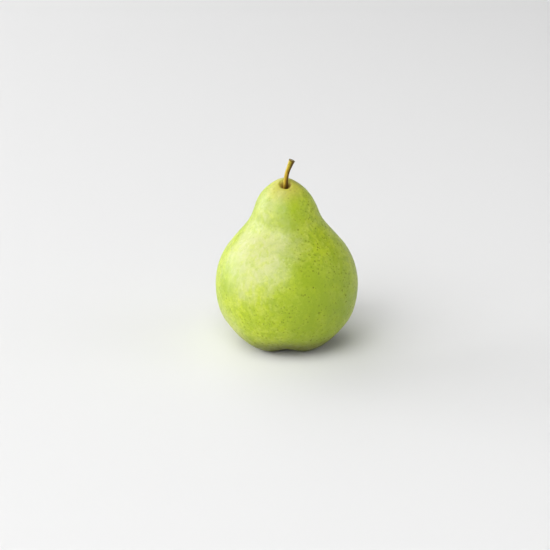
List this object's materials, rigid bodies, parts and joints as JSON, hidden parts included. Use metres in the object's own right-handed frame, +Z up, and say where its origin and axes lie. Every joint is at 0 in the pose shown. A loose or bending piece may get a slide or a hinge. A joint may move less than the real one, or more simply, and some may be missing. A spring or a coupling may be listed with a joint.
{
  "type": "pear",
  "caption": "Fresh green pear that stands upright, with a bent woody stem in a small cavity on top and a dried calyx in a lobed basin underneath.",
  "frame": {"origin": "on the surface that the pear stands on, under the middle of its bounding box", "axes": "+Z up from the calyx to the stem, -Y to the front, which the neck leans to, +X to the side that the stem bends to"},
  "size_m": [0.0751, 0.0746, 0.1022],
  "materials": {
    "skin": "waxy fruit skin, satin, yellow-green with small darker green dots",
    "stem": "young bark, ochre to dark brown, slightly waxy",
    "calyx": "dried sepals and stamens, dark brown, dull"
  },
  "bodies": {
    "root": {"fruit": "skin", "stem": "stem", "calyx": "calyx"}
  },
  "joints": []
}
